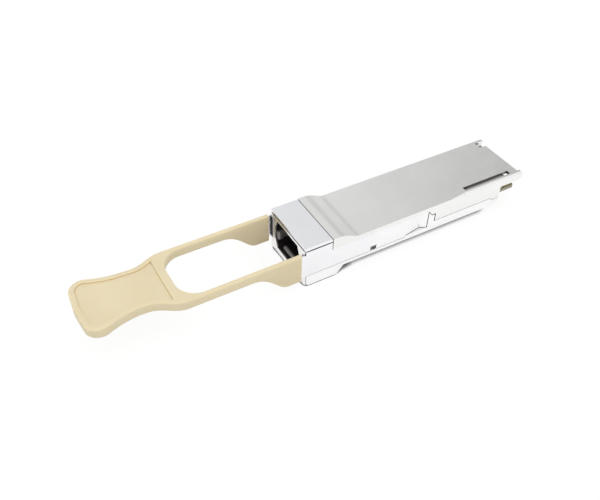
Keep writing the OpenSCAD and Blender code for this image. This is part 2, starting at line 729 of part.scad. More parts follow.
module emi_gasket() color("#5C5D60") difference() {
    block([throat_x + fit, fit - throat_w, floor_t + fit],
        [throat_x + 1.5, throat_w - fit, lid_z - fit]);
    along(throat_x - past, throat_x + 3) translate([0, port_z])
        square([ferrule_w + 0.2, ferrule_h + 0.2], center = true);
}

// ---------- Board and what it carries ----------

// Stations of the chips: the clock recovery chips share the room between the optics and
// the microcontroller evenly.
driver_x = lens_x0 + lens_size[0] + 1.2;
cap_x = driver_x + 2.2;
cap_size = [1, 0.5, 0.5];
micro_x = mouth_x - micro_w / 2 - 1.6;
inductor = [2.5, 2, 1.2];
retimer_gap = (micro_x - micro_w / 2 - cap_x - cap_size[0] / 2 - 2 * retimer_w) / 3;
retimer_x = [cap_x + cap_size[0] / 2 + retimer_gap + retimer_w / 2,
    micro_x - micro_w / 2 - retimer_gap - retimer_w / 2];

module circuit_board() color("#2F6B45") difference() {
    gap = 0.1;
    translate([0, 0, board_z]) linear_extrude(board_t) {
        translate([board_x, gap - front_bay_w])
            square([rear_bay_x + 0.3 - board_x, 2 * (front_bay_w - gap)]);
        translate([rear_bay_x + 0.2, gap - rear_bay_w])
            square([mouth_x + 0.3 - rear_bay_x, 2 * (rear_bay_w - gap)]);
        polygon([
            [mouth_x + 0.2, -card_w / 2], [card_end_x - 0.4, -card_w / 2],
            [card_end_x, 0.4 - card_w / 2], [card_end_x, card_w / 2 - 0.4],
            [card_end_x - 0.4, card_w / 2], [mouth_x + 0.2, card_w / 2]]);
    }
    both_sides() translate([screw_places[1][0], screw_places[1][1], board_z - past])
        cylinder(r = post_r + gap, h = board_t + 2 * past);
}

contact_t = 0.04;
// The row of gold contacts on one face of the card edge: every third one is a longer ground.
module contact_row(z) {
    for (i = [0:contact_count - 1]) {
        y = (i - (contact_count - 1) / 2) * contact_pitch;
        reach = i % 3 == 0 ? 0.5 : 0.9;
        block([card_end_x - 3.1, y - contact_w / 2, z],
            [card_end_x - reach, y + contact_w / 2, z + contact_t]);
    }
}
module edge_contacts_top() color("#C8A84A") contact_row(board_top);
module edge_contacts_bottom() color("#C8A84A") contact_row(board_z - contact_t);

die_x = lens_x0 + 3;
die_y = 1;
module lens_block() color("#D9A441") difference() {
    translate([lens_x0, -lens_size[1] / 2, board_top]) cube(lens_size);
    block([lens_x0 + 2, -2.2, board_top - past],
        [lens_x0 + lens_size[0] - 0.5, 2.2, board_top + 0.6]);
    block([lens_x0 - past, -ribbon_w / 2, ribbon_end_z - ribbon_t / 2],
        [ribbon_end_x, ribbon_w / 2, ribbon_end_z + ribbon_t / 2]);
}
module vcsel_array() color("#6E6A8C") on_board(die_x, die_y, [0.4, 1.2, 0.2]);
module photodiode_array() color("#585C78") on_board(die_x, -die_y, [0.4, 1.2, 0.2]);
module laser_driver() color("#70747C") on_board(driver_x, 1.5, [1.8, 2.4, 0.35]);
module receiver_amplifier() color("#70747C") on_board(driver_x, -1.5, [1.8, 2.4, 0.35]);

module clock_recovery_chips() color("#26272B")
    for (x = retimer_x) on_board(x, 0, [retimer_w, retimer_w, chip_h]);
module microcontroller() color("#222327") on_board(micro_x, 0, [micro_w, micro_w, chip_h]);
module memory_chip() color("#222327")
    translate([micro_x - 1.5, -1, board_z - 0.6]) cube([3, 2, 0.6]);
module power_inductors() color("#3F4044")
    for (s = [-1, 1]) on_board(rear_bay_x, s * (front_bay_w - 0.8 - inductor[1] / 2), inductor);

// Small capacitors in rows beside the chips and the lens block.
module ceramic_capacitors() color("#B49A78") {
    for (x = retimer_x, s = [-1, 1], k = [-1.5:1:1.5])
        on_board(x + k * 1.4, s * (retimer_w / 2 + 0.5), cap_size);
    for (s = [-1, 1], k = [0:2]) on_board(cap_x, s * (0.8 + 1.3 * k), cap_size);
}

module thermal_pad() color("#8FA3B5") for (x = retimer_x)
    on_pad(x, [retimer_w - 0.4, retimer_w - 0.4, pedestal_z - board_top - chip_h]);
module on_pad(x, size) {
    translate([0, 0, chip_h]) on_board(x, 0, size);
}

// Two strips of microwave absorber under the plate: one below the slot, one at the notch.
module absorber_strips() color("#2C2D2F") {
    t = 0.6;
    z1 = lid_z - fit;
    block([slot_x0 - 1.2, fit - rear_bay_w, z1 - t], [slot_x1 - 1.1, slot_w - slot_y + 0.4, z1]);
    block([notch_x - 3.5, notch_y - notch_w - 0.9, z1 - t], [plate_end_x - 0.1, slot_y - fit, z1]);
}

base_shell();
top_shell();
nose_cap();
pull_tab();
latch_slide();
return_spring_near();
return_spring_far();
mpo_receptacle();
plug_hooks();
mt_ferrule();
guide_pins();
pin_clamp();
fibre_ribbon();
emi_gasket();
lens_block();
vcsel_array();
photodiode_array();
laser_driver();
receiver_amplifier();
clock_recovery_chips();
microcontroller();
memory_chip();
power_inductors();
ceramic_capacitors();
circuit_board();
edge_contacts_top();
edge_contacts_bottom();
thermal_pad();
absorber_strips();
housing_screws();
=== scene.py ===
"""Dresses a pluggable optical transceiver module: finishes, fine pieces, studio and camera.

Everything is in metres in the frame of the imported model: +X into the cage, +Z up, origin on
the flat underside of the body where the nose meets the cage.
"""

import logging
import math
from dataclasses import dataclass, field
from enum import Enum
from typing import Any

import bpy
import numpy as np
from mathutils import Matrix, Vector


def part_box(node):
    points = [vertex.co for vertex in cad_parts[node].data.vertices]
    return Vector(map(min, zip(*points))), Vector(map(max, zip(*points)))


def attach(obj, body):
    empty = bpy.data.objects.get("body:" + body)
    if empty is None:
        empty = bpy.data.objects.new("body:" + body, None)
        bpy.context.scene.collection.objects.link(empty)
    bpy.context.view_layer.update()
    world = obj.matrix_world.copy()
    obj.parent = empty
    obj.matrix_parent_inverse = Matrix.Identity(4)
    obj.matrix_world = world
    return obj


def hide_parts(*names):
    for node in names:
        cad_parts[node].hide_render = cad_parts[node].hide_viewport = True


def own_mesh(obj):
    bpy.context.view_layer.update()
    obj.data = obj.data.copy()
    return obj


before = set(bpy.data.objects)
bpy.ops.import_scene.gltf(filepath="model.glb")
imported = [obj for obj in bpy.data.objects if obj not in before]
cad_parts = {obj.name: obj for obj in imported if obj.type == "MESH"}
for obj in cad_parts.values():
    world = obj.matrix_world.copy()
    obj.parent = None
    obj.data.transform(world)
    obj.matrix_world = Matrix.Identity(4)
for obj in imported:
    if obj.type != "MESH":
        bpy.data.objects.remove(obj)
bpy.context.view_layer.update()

LOG = logging.getLogger("transceiver")
MM = 0.001
UM = 0.000001
WHITE = (1.0, 1.0, 1.0, 1.0)

# The mix node repeats its inputs' names for each kind of value, so they go by number.
SHARE = 0
VALUE_A, VALUE_B = 2, 3
COLOUR_A, COLOUR_B, COLOUR_OUT = 6, 7, 2

# How a CAD node's triangles are joined, its edges broken and its faces shaded.
JOIN_WITHIN_UM = 0.5
FLAT_WITHIN_DEGREES = 0.3
BROKEN_OVER_DEGREES = 35
EDGE_SEGMENTS = 2
SMOOTH_UNDER_DEGREES = 32
FLATS_WEIGHT = 50
ROUND_FACE_CORNERS = 4


def linear(colour: str) -> tuple[float, float, float, float]:
    """Turns an sRGB hex colour into linear RGBA.

    The standard's curve: a straight line near black, and a power of 2.4 above it.

    Args:
        colour: Six hex digits after a hash sign.

    Returns:
        The linear red, green and blue, and an alpha of 1.
    """
    parts = [int(colour[i:i + 2], 16) / 255 for i in (1, 3, 5)]
    red, green, blue = (part / 12.92 if part <= 0.04045 else ((part + 0.055) / 1.055) ** 2.4
                        for part in parts)
    return red, green, blue, 1.0


def add_node(tree: bpy.types.NodeTree, kind: str, inputs: dict[Any, Any] | None = None,
             **settings: Any) -> bpy.types.Node:
    """Adds one node with its settings, and links or fills its inputs.

    Args:
        tree: The node tree that gets the node.
        kind: The node's type name.
        inputs: A socket to link from, or a value, for each input's name or number.
        settings: Properties of the node itself.

    Returns:
        The new node.
    """
    node = tree.nodes.new(kind)
    for name, value in settings.items():
        setattr(node, name, value)
    for name, value in (inputs or {}).items():
        if isinstance(value, bpy.types.NodeSocket):
            tree.links.new(value, node.inputs[name])
        else:
            node.inputs[name].default_value = value
    return node


class Grain(Enum):
    """How a tool left a surface: the pattern's repeats along X, Y and Z.

    They are shares of the plain pattern's, so a small one draws the grain out into lines.
    """

    BLASTED = (1.0, 1.0, 1.0)
    BRUSHED_ALONG = (0.03, 1.0, 1.0)


@dataclass(frozen=True)
class Finish:
    """A surface that was moulded, cast, rolled or plated.

    The base colour drifts between two tones over drift_mm, as a real batch does. The grain
    gives fine relief, and a slight change of gloss over patches of patch_grains grains.
    octave_share is how strong each finer octave of the noise is beside the last, and
    noise_range is where its values mostly lie. Near joints and in hollows the base colour is
    turned towards crevice_shade_tone as painted shade, and the other ranges are the shares of
    free sky at which a point counts as closed in and as open. Light goes depth_mm into the
    piece, less in green and blue, as depth_by_colour says.
    """

    name: str
    colour: str
    tone: str
    roughness: float
    grain: Grain = Grain.BLASTED
    grain_mm: float = 0.4
    relief_um: float = 4.0
    gloss_drift: float = 0.06
    drift_mm: float = 14.0
    metallic: float = 0.0
    ior: float = 1.5
    coat: float = 0.0
    coat_roughness: float = 0.2
    depth_mm: float = 0.0
    depth_by_colour: tuple[float, float, float] = (1.0, 0.85, 0.6)
    # Painted shade at joints and in hollows: its reaches, ranges and colour.
    crevice_mm: float = 0.0
    crevice_range: tuple[float, float] = (0.3, 0.8)
    crevice_shade_tone: str = "#3A3835"
    hollow_mm: float = 0.0
    hollow_range: tuple[float, float] = (0.6, 1.0)
    sky_samples: int = 8
    noise_range: tuple[float, float] = (0.3, 0.7)
    octave_share: float = 0.55
    patch_grains: float = 6.0

    def material(self) -> bpy.types.Material:
        """Builds the finish once, and gives it again when it is asked for again.

        Returns:
            The material.
        """
        made = bpy.data.materials.get(self.name)
        if made is not None:
            return made
        made = bpy.data.materials.new(self.name)
        made.use_nodes = True
        made.diffuse_color = linear(self.colour)
        tree = made.node_tree
        tree.nodes.clear()
        place = add_node(tree, "ShaderNodeTexCoord").outputs["Object"]
        base = self.colours(tree, place)
        # Painted shade: the colour darkens near joints and in hollows.
        if self.crevice_mm:
            base = self.painted_crevice_shade(tree, base)
        shader = add_node(tree, "ShaderNodeBsdfPrincipled", {
            "Base Color": base,
            "Roughness": self.gloss(tree, place),
            "Normal": self.relief(tree, place),
            "Metallic": self.metallic,
            "Coat Weight": self.coat,
            "Coat Roughness": self.coat_roughness,
        })
        if not self.metallic:
            shader.inputs["IOR"].default_value = self.ior
        if self.depth_mm:
            shader.inputs["Subsurface Weight"].default_value = 1.0
            shader.inputs["Subsurface Radius"].default_value = self.depth_by_colour
            shader.inputs["Subsurface Scale"].default_value = self.depth_mm * MM
        add_node(tree, "ShaderNodeOutputMaterial", {"Surface": shader.outputs["BSDF"]})
        return made

    def noise(self, tree: bpy.types.NodeTree, place: bpy.types.NodeSocket, size_mm: float,
              stretch: tuple[float, float, float] = Grain.BLASTED.value,
              detail: float = 2.0) -> bpy.types.NodeSocket:
        """Noise whose blobs are about size_mm across.

        Args:
            tree: The material's node tree.
            place: Object coordinates, in metres.
            size_mm: The size of one blob.
            stretch: Repeats along X, Y and Z, as shares of the plain pattern's.
            detail: How many finer octaves it has.

        Returns:
            A value from 0 to 1.
        """
        scaled = add_node(tree, "ShaderNodeMapping", {
            "Vector": place, "Scale": tuple(share / (size_mm * MM) for share in stretch)})
        return add_node(tree, "ShaderNodeTexNoise", {
            "Vector": scaled.outputs["Vector"], "Scale": 1.0, "Detail": detail,
            "Roughness": self.octave_share}).outputs["Fac"]

    def colours(self, tree: bpy.types.NodeTree,
                place: bpy.types.NodeSocket) -> bpy.types.NodeSocket:
        """The base colour, drifting slowly from one tone to the other.

        Args:
            tree: The material's node tree.
            place: Object coordinates, in metres.

        Returns:
            The colour.
        """
        ramp = add_node(tree, "ShaderNodeValToRGB",
                        {"Fac": self.noise(tree, place, self.drift_mm)})
        for number, colour in enumerate((self.tone, self.colour)):
            ramp.color_ramp.elements[number].position = self.noise_range[number]
            ramp.color_ramp.elements[number].color = linear(colour)
        return ramp.outputs["Color"]

    def painted_crevice_shade(self, tree: bpy.types.NodeTree,
               base: bpy.types.NodeSocket) -> bpy.types.NodeSocket:
        """Paints shade into the colour at joints and in hollows, where less light reaches
        them.

        Args:
            tree: The material's node tree.
            base: The clean base colour.

        Returns:
            The base colour with painted shade: turned to crevice_shade_tone up to crevice_mm
                from a
            joint and, where hollow_mm is set, a little up to hollow_mm from the piece's own
            inside corners.
        """
        unshaded = self.openness(tree, self.crevice_mm, self.crevice_range, only_local=False)
        if self.hollow_mm:
            clear = self.openness(tree, self.hollow_mm, self.hollow_range, only_local=True)
            unshaded = add_node(tree, "ShaderNodeMath", {0: unshaded, 1: clear},
                             operation="MULTIPLY").outputs[0]
        return add_node(tree, "ShaderNodeMix", {
            SHARE: unshaded, COLOUR_A: linear(self.crevice_shade_tone), COLOUR_B: base},
            data_type="RGBA").outputs[COLOUR_OUT]

    def openness(self, tree: bpy.types.NodeTree, reach_mm: float,
                 between: tuple[float, float], only_local: bool) -> bpy.types.NodeSocket:
        """How open the space above a point is.

        Args:
            tree: The material's node tree.
            reach_mm: How far away something still hides the sky.
            between: The shares of free sky at which a point counts as closed in and as open.
            only_local: Whether only the piece itself hides the sky.

        Returns:
            0 where the point is closed in, rising to 1 where it is open.
        """
        sky = add_node(tree, "ShaderNodeAmbientOcclusion", {"Distance": reach_mm * MM},
                       samples=self.sky_samples, only_local=only_local).outputs["AO"]
        return add_node(tree, "ShaderNodeMapRange", {
            "Value": sky, "From Min": between[0], "From Max": between[1]}).outputs["Result"]

    def gloss(self, tree: bpy.types.NodeTree,
              place: bpy.types.NodeSocket) -> bpy.types.NodeSocket:
        """Roughness that changes a little from patch to patch of the grain.

        Args:
            tree: The material's node tree.
            place: Object coordinates, in metres.

        Returns:
            The roughness.
        """
        patches = self.noise(tree, place, self.grain_mm * self.patch_grains, self.grain.value)
        lowest, highest = self.noise_range
        return add_node(tree, "ShaderNodeMapRange", {
            "Value": patches, "From Min": lowest, "From Max": highest,
            "To Min": max(0.0, self.roughness - self.gloss_drift),
            "To Max": self.roughness + self.gloss_drift}).outputs["Result"]

    def relief(self, tree: bpy.types.NodeTree,
               place: bpy.types.NodeSocket) -> bpy.types.NodeSocket:
        """Fine relief at the grain's size, relief_um deep.

        Args:
            tree: The material's node tree.
            place: Object coordinates, in metres.

        Returns:
            The normal with the relief in it.
        """
        height = self.noise(tree, place, self.grain_mm, self.grain.value, detail=3.0)
        return add_node(tree, "ShaderNodeBump", {
            "Strength": 1.0, "Distance": self.relief_um * UM,
            "Height": height}).outputs["Normal"]


@dataclass(frozen=True)
class CircuitMask(Finish):
    """Glossy solder mask on a laminate, with copper traces that show through it as bands."""

    trace_pitch_mm: float = 0.8
    trace_edge: tuple[float, float] = (0.35, 0.5)
    trace_colour: str = "#9A9670"
    laminate_colour: str = "#98927C"
    edge_under: float = 0.5

    def colours(self, tree: bpy.types.NodeTree,
                place: bpy.types.NodeSocket) -> bpy.types.NodeSocket:
        """Mask with traces on the two faces, and bare laminate on the routed edges.

        The traces run along X. A cosine turns once over each pitch of Y, and a trace shows
        where it is above trace_edge.

        Args:
            tree: The material's node tree.
            place: Object coordinates, in metres.

        Returns:
            The colour.
        """
        across = add_node(tree, "ShaderNodeSeparateXYZ", {"Vector": place}).outputs["Y"]
        turns = add_node(tree, "ShaderNodeMath",
                         {0: across, 1: 2 * math.pi / (self.trace_pitch_mm * MM)},
                         operation="MULTIPLY")
        wave = add_node(tree, "ShaderNodeMath", {0: turns.outputs[0]}, operation="COSINE")
        mask, copper = self.trace_edge
        band = add_node(tree, "ShaderNodeMapRange", {
            "Value": wave.outputs[0], "From Min": mask, "From Max": copper})
        faces = add_node(tree, "ShaderNodeMix", {
            SHARE: band.outputs["Result"], COLOUR_A: super().colours(tree, place),
            COLOUR_B: linear(self.trace_colour)}, data_type="RGBA").outputs[COLOUR_OUT]
        return add_node(tree, "ShaderNodeMix", {
            SHARE: self.is_edge(tree), COLOUR_A: faces,
            COLOUR_B: linear(self.laminate_colour)}, data_type="RGBA").outputs[COLOUR_OUT]

    def is_edge(self, tree: bpy.types.NodeTree) -> bpy.types.NodeSocket:
        """Tells the routed edges from the two faces by how far their normals lean from Z.

        Args:
            tree: The material's node tree.

        Returns:
            1 on the edges and 0 on the faces.
        """
        way = add_node(tree, "ShaderNodeNewGeometry").outputs["True Normal"]
        up = add_node(tree, "ShaderNodeSeparateXYZ", {"Vector": way}).outputs["Z"]
        size = add_node(tree, "ShaderNodeMath", {0: up}, operation="ABSOLUTE").outputs[0]
        return add_node(tree, "ShaderNodeMath", {0: size, 1: self.edge_under},
                        operation="LESS_THAN").outputs[0]


# The real grains are mostly about 0.1 mm or finer. They are drawn a few times coarser here, so
# that they show.

# Die-cast zinc, bead-blasted and nickel plated: a bright satin with a faint sparkle.
# It gets painted shade up to 0.5 mm from a joint and, faintly, up to 2 mm into its own inside
# corners.
SATIN_NICKEL = Finish("satin_nickel_cover", "#EEEEEC", "#E8E8E6", 0.34, grain_mm=0.35,
                      relief_um=1.2, gloss_drift=0.03, metallic=1.0, crevice_mm=0.5,
                      hollow_mm=2.0)
# The base is the same casting under a slightly brighter and smoother plate.
# It gets painted shade up to 0.28 mm from a joint.
BASE_NICKEL = Finish("satin_nickel_base", "#F4F4F4", "#EFEFF0", 0.3, grain_mm=0.35,
                     relief_um=1.2, gloss_drift=0.03, metallic=1.0, crevice_mm=0.28)
# The cap is a separate casting with a finer, cooler plate.
# It gets painted shade up to 0.5 mm from a joint.
CAP_NICKEL = Finish("fine_nickel_cap", "#F1F2F4", "#ECEDF0", 0.32, grain_mm=0.3,
                    relief_um=0.6, gloss_drift=0.03, metallic=1.0, crevice_mm=0.5)
# Stainless spring strip, rolled along its length: bright, with long faint lines.
# It gets painted shade up to 0.5 mm from a joint.
ROLLED_STEEL = Finish("rolled_stainless_strip", "#F2F2F3", "#EAEAEC", 0.24,
                      grain=Grain.BRUSHED_ALONG, grain_mm=0.3, relief_um=1.2, metallic=1.0,
                      crevice_mm=0.5)
# Spring wire pulled through a die: smooth, with a grey shine.
SPRING_WIRE = Finish("drawn_spring_wire", "#BFC0C2", "#AEB0B3", 0.25, grain_mm=0.2,
                     relief_um=1.0, drift_mm=3.0, metallic=1.0)
# Steel screws, zinc plated and passivated: a soft grey, slightly blue.
SCREW_STEEL = Finish("zinc_plated_screws", "#B9BABD", "#A9AAAD", 0.3, grain_mm=0.25,
                     relief_um=1.5, drift_mm=2.0, metallic=1.0)
# Ground stainless: nearly a mirror.
PIN_STEEL = Finish("ground_guide_pins", "#D5D6D8", "#C9CACD", 0.12, grain_mm=0.2,
                   relief_um=0.4, drift_mm=2.0, metallic=1.0)
# Stamped stainless sheet: a duller grey that keeps its rolling lines.
CLAMP_STEEL = Finish("stamped_pin_clamp", "#C3C4C7", "#B4B5B8", 0.32,
                     grain=Grain.BRUSHED_ALONG, grain_mm=0.25, drift_mm=3.0, metallic=1.0)
# Hard gold over nickel on the card's contacts: warm, with wipe lines along X.
HARD_GOLD = Finish("hard_gold_contacts", "#DCC983", "#CDB66A", 0.26,
                   grain=Grain.BRUSHED_ALONG, grain_mm=0.12, relief_um=0.8, drift_mm=3.0,
                   metallic=1.0)
# Injection-moulded thermoplastic rubber: matt, slightly see-through at its edges, and painted
# warmer in its corners as painted shade, for light that passes from face to face there.
BEIGE_RUBBER = Finish("beige_moulded_rubber", "#E8DCBC", "#E3D5B3", 0.55, grain_mm=0.5,
                      relief_um=10.0, drift_mm=18.0, ior=1.47, depth_mm=0.35,
                      crevice_mm=6.0, crevice_shade_tone="#D6BA86")
# Moulded glass-filled polyester: black with a soft, broad shine.
BLACK_PBT = Finish("black_moulded_polyester", "#1B1719", "#151113", 0.42, grain_mm=0.3,
                   relief_um=5.0, drift_mm=5.0, ior=1.57)
# Moulded polyetherimide, filled grey: a resin-rich skin gives it a clear highlight.
GREY_PEI = Finish("grey_moulded_hooks", "#7D797B", "#6E6A6C", 0.28, grain_mm=0.3,
                  relief_um=2.0, drift_mm=4.0, ior=1.6, coat=0.5)
# Glass-filled polyphenylene sulphide with a lapped face: dark and smooth.
FERRULE_PPS = Finish("glass_filled_ferrule", "#3C3D42", "#2F3034", 0.3, grain_mm=0.15,
                     relief_um=2.0, drift_mm=2.0, ior=1.6)
# Cured solder mask on glass laminate: glossy olive over the traces, tan on routed edges.
BOARD = CircuitMask("olive_solder_mask", "#8A8A63", "#80805A", 0.25, grain_mm=0.5,
                    relief_um=3.0, drift_mm=8.0, ior=1.52, coat=0.3)
# Transfer-moulded epoxy: matt and nearly black.
CHIP_EPOXY = Finish("moulded_chip_epoxy", "#26272B", "#1F2024", 0.5, grain_mm=0.2,
                    relief_um=3.0, drift_mm=3.0, ior=1.55)
# Bare semiconductor dies, polished: a blue-grey mirror.
DIE_SILICON = Finish("bare_silicon_dies", "#767A86", "#666A78", 0.12, grain_mm=0.2,
                     relief_um=0.3, drift_mm=0.6, metallic=0.8)
# Fired ceramic: light brown, smooth and half matt.
CERAMIC = Finish("barium_titanate_ceramic", "#B79E7C", "#A98F6D", 0.4, grain_mm=0.15,
                 relief_um=2.0, drift_mm=1.0, ior=1.7)
# Pressed and ground ferrite: a dense dark grey.
FERRITE = Finish("ground_ferrite", "#47484C", "#3A3B3F", 0.45, grain_mm=0.2,
                 relief_um=3.0, drift_mm=2.0, ior=1.8)
# Unfilled polyetherimide from a polished optical mould: amber and very smooth.
LENS_PEI = Finish("amber_moulded_optics", "#D9A040", "#C98F30", 0.12, grain_mm=0.3,
                  relief_um=0.5, drift_mm=3.0, ior=1.63, coat=0.2)
# Filled silicone sheet, die cut: chalky blue.
GAP_PAD = Finish("silicone_gap_pad", "#93A7B9", "#879BAD", 0.7, grain_mm=0.3,
                 relief_um=12.0, drift_mm=2.0, ior=1.42)
# Silicone sheet filled with iron powder: a flat mid grey.
ABSORBER = Finish("filled_silicone_absorber", "#9E9B97", "#93908C", 0.7, grain_mm=0.3,
                  relief_um=10.0, drift_mm=3.0, ior=1.45)
# Elastomer filled with nickel-coated graphite: dark, rough and open.
EMI_FOAM = Finish("nickel_graphite_foam", "#636467", "#525356", 0.75, grain_mm=0.25,
                  relief_um=30.0, drift_mm=2.0, ior=1.5)
# Acrylate cured over the drawn fibres: glossy aqua.
AQUA_COATING = Finish("aqua_acrylate_ribbon", "#74BCCB", "#67AFBF", 0.3, grain_mm=0.25,
                      relief_um=2.0, drift_mm=3.0, ior=1.5, coat=0.3)
# Silica, polished with the ferrule's face: small pale points of light.
GLASS_END = Finish("polished_fibre_ends", "#C9DDE6", "#B8CFDA", 0.08, grain_mm=0.05,
                   relief_um=0.1, drift_mm=0.3, ior=1.46, coat=1.0)


def shading_group() -> bpy.types.NodeTree:
    """A modifier group that shades smooth and keeps edges over SMOOTH_UNDER_DEGREES sharp.

    Returns:
        The group, which every dressed piece shares.
    """
    name = "shade_smooth_by_angle"
    made = bpy.data.node_groups.get(name)
    if made is not None:
        return made
    made = bpy.data.node_groups.new(name, "GeometryNodeTree")
    made.is_modifier = True
    for way in ("INPUT", "OUTPUT"):
        made.interface.new_socket("Geometry", in_out=way, socket_type="NodeSocketGeometry")
    start = add_node(made, "NodeGroupInput")
    plain = add_node(made, "GeometryNodeRemoveAttribute",
                     {"Geometry": start.outputs["Geometry"], "Name": "custom_normal"})
    faces = add_node(made, "GeometryNodeSetShadeSmooth", {
        "Geometry": plain.outputs["Geometry"], "Shade Smooth": True}, domain="FACE")
    edges = add_node(made, "GeometryNodeSetShadeSmooth", {
        "Geometry": faces.outputs["Geometry"], "Shade Smooth": True}, domain="EDGE")
    angle = add_node(made, "GeometryNodeInputMeshEdgeAngle").outputs["Unsigned Angle"]
    sharp = add_node(made, "FunctionNodeCompare",
                     {0: angle, 1: math.radians(SMOOTH_UNDER_DEGREES)},
                     data_type="FLOAT", operation="GREATER_THAN")
    split = add_node(made, "GeometryNodeSetShadeSmooth", {
        "Geometry": edges.outputs["Geometry"], "Selection": sharp.outputs["Result"],
        "Shade Smooth": False}, domain="EDGE")
    add_node(made, "NodeGroupOutput", {"Geometry": split.outputs["Geometry"]})
    return made


def soften(piece: bpy.types.Object, edge_mm: float) -> None:
    """Joins a CAD node's loose triangles, rounds its edges and shades it smooth by angle.

    Args:
        piece: The object that gets the modifiers.
        edge_mm: The radius of the broken edges, or 0 to leave them sharp.
    """
    weld = piece.modifiers.new("join_triangles", "WELD")
    weld.merge_threshold = JOIN_WITHIN_UM * UM
    if edge_mm:
        flat = piece.modifiers.new("clear_flats", "DECIMATE")
        flat.decimate_type = "DISSOLVE"
        flat.angle_limit = math.radians(FLAT_WITHIN_DEGREES)
        bevel = piece.modifiers.new("broken_edges", "BEVEL")
        bevel.width = edge_mm * MM
        bevel.segments = EDGE_SEGMENTS
        bevel.limit_method = "ANGLE"
        bevel.angle_limit = math.radians(BROKEN_OVER_DEGREES)
        bevel.use_clamp_overlap = True
    shade = piece.modifiers.new("shading", "NODES")
    shade.node_group = shading_group()
    if edge_mm:
        level = piece.modifiers.new("level_flats", "WEIGHTED_NORMAL")
        level.mode = "FACE_AREA"
        level.weight = FLATS_WEIGHT
        level.keep_sharp = True


def dress(node: str, finish: Finish, edge_mm: float = 0.0) -> None:
    """Gives a CAD node its finish and its broken edges, and leaves its shape alone.

    Args:
        node: The CAD node's name.
        finish: The finish that all its faces get.
        edge_mm: The radius of its broken edges, or 0 to leave them sharp.
    """
    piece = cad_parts[node]
    for slot in piece.material_slots:
        slot.material = finish.material()
    soften(piece, edge_mm)
    LOG.info("dressed %s in %s", node, finish.name)


def mesh_piece(name: str, points: np.ndarray, faces: list[list[int]], finish: Finish,
               body: str) -> bpy.types.Object:
    """Makes a closed piece from points and faces, and lets it ride on a body.

    Its round sides are triangles and quads and are shaded smooth. Larger faces are flat ends.

    Args:
        name: The piece's name.
        points: Corner points, one row each, in metres.
        faces: The corner numbers of each face, anticlockwise from outside.
        finish: The finish of the whole piece.
        body: The CAD body that carries it.

    Returns:
        The new object.
    """
    mesh = bpy.data.meshes.new(name)
    mesh.from_pydata(points.tolist(), [], faces)
    round_sides = np.array([len(face) <= ROUND_FACE_CORNERS for face in faces])
    mesh.polygons.foreach_set("use_smooth", round_sides)
    mesh.update()
    mesh.materials.append(finish.material())
    piece = bpy.data.objects.new(name, mesh)
    bpy.context.scene.collection.objects.link(piece)
    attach(piece, body)
    LOG.info("built %s: %d faces", name, len(faces))
    return piece


def tube(path: np.ndarray, radius: float, sides: int,
         end_share: float) -> tuple[np.ndarray, list[list[int]]]:
    """A round wire along a path.

    A ring of equal steps of angle stands across the path at each point, in the plane of a
    side vector and the cross product of the path's direction with it. The last ring at each
    end is smaller, and a flat face closes it.

    Args:
        path: The path's points, one row each.
        radius: The wire's radius.
        sides: Points on each ring.
        end_share: The end rings' radius, as a share of the wire's.

    Returns:
        The points and the faces.
    """
    along = np.gradient(path, axis=0)
    along /= np.linalg.norm(along, axis=1)[:, None]
    side = np.cross(along, [1.0, 0.0, 0.0])
    side /= np.linalg.norm(side, axis=1)[:, None]
    up = np.cross(along, side)
    turn = np.linspace(0, 2 * np.pi, sides, endpoint=False)
    ring = (np.cos(turn)[None, :, None] * side[:, None]
            + np.sin(turn)[None, :, None] * up[:, None])
    share = np.ones(len(path))
    share[[0, -1]] = end_share
    points = path[:, None] + radius * share[:, None, None] * ring
    row, step = np.meshgrid(np.arange(len(path) - 1), np.arange(sides), indexing="ij")
    after = (step + 1) % sides
    quads = np.stack([row * sides + step, row * sides + after,
                      (row + 1) * sides + after, (row + 1) * sides + step], -1)
    ring_numbers = np.arange(sides)
    flats = [ring_numbers[::-1], (len(path) - 1) * sides + ring_numbers]
    return (points.reshape(-1, 3),
            quads.reshape(-1, 4).tolist() + [flat.tolist() for flat in flats])


@dataclass
class Housing:
    """The two die-cast shells, the nose cap and what is fixed to them."""

    base_edge_mm: float = 0.2
    cover_edge_mm: float = 0.14
    cap_edge_mm: float = 0.1
    screw_edge_mm: float = 0.04

    def build(self) -> None:
        """Dresses the castings, the gasket and the screws."""
        dress("base_shell", BASE_NICKEL, self.base_edge_mm)
        dress("top_shell", SATIN_NICKEL, self.cover_edge_mm)
        dress("nose_cap", CAP_NICKEL, self.cap_edge_mm)
        dress("emi_gasket", EMI_FOAM)
        dress("housing_screws", SCREW_STEEL, self.screw_edge_mm)


